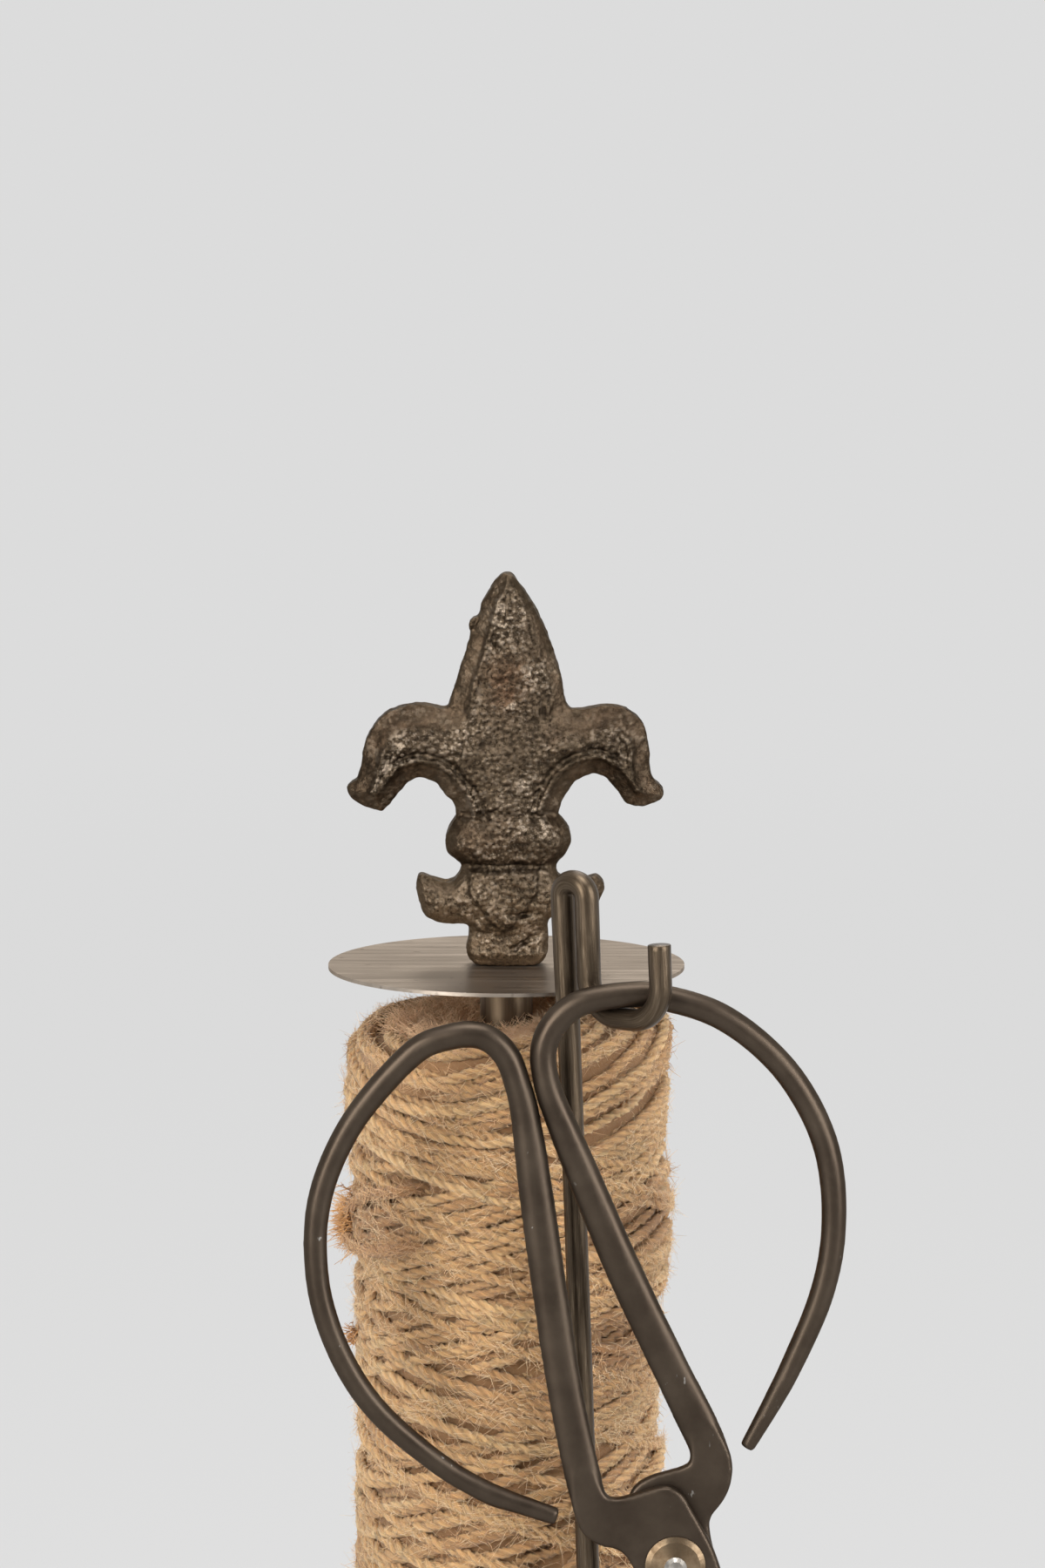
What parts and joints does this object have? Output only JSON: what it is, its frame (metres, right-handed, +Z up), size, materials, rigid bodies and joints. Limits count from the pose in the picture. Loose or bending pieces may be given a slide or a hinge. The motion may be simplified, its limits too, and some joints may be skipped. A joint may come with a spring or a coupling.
{
  "type": "string holder",
  "caption": "Cast-iron counter string holder: a post under a disc and fleur-de-lis finial carries a roll of twine, and a bent-rod hook beside it holds looped shears.",
  "frame": {"origin": "on the post's axis, at the underside of the felt, on the table", "axes": "+Z up along the post, -Y to the front where the shears hang, +X to the right seen from the front; one unit is a metre"},
  "size_m": [0.1228, 0.12, 0.2753],
  "materials": {
    "cast_foot": "rough sand-cast, dark brown",
    "felt": "dense dark felt",
    "plain_steel": "plain bright steel, a little dull",
    "dark_steel": "dark satin",
    "sheet_steel": "satin brown-grey sheet with faint marks",
    "cast_finial": "rough sand-cast with bright worn grains",
    "cardboard": "brown wound cardboard",
    "jute": "twisted natural jute, fuzzy",
    "rod_steel": "drawn rod, satin with a brown cast",
    "black_steel": "forged and blackened, worn bright on edges",
    "aged_brass": "dull aged bronze colour"
  },
  "bodies": {
    "stand": {"base": "cast_foot", "base_felt": "felt", "tie_rod": "plain_steel", "spindle_tube": "dark_steel", "top_disc": "sheet_steel", "base_nut": "plain_steel", "base_washer": "plain_steel", "hook_rod": "rod_steel", "hook_nuts": "plain_steel", "hook_washer": "plain_steel"},
    "finial": {"finial": "cast_finial"},
    "twine": {"twine_core": "cardboard", "twine_pack": "jute", "twine_winding": "jute"},
    "right_half": {"scissors_right": "black_steel", "pivot_rivet": "plain_steel", "pivot_washers": "aged_brass"},
    "left_half": {"scissors_left": "black_steel"}
  },
  "joints": [
    {"name": "twine_spin", "type": "hinge", "parent": "stand", "child": "twine", "pos_m": [0, 0, 0.1], "axis": [0, 0, 1], "continuous": true},
    {"name": "finial_turn", "type": "hinge", "parent": "stand", "child": "finial", "pos_m": [0, 0, 0.205], "axis": [0, 0, 1], "continuous": true},
    {"name": "scissors_lift", "type": "slide", "parent": "stand", "child": "right_half", "axis": [0, 0, 1], "range_m": [0, 0.02]},
    {"name": "scissors_open", "type": "hinge", "parent": "right_half", "child": "left_half", "pos_m": [0.03142, -0.04676, 0.09511], "axis": [0, -1, 0], "range_deg": [0, 40]}
  ]
}
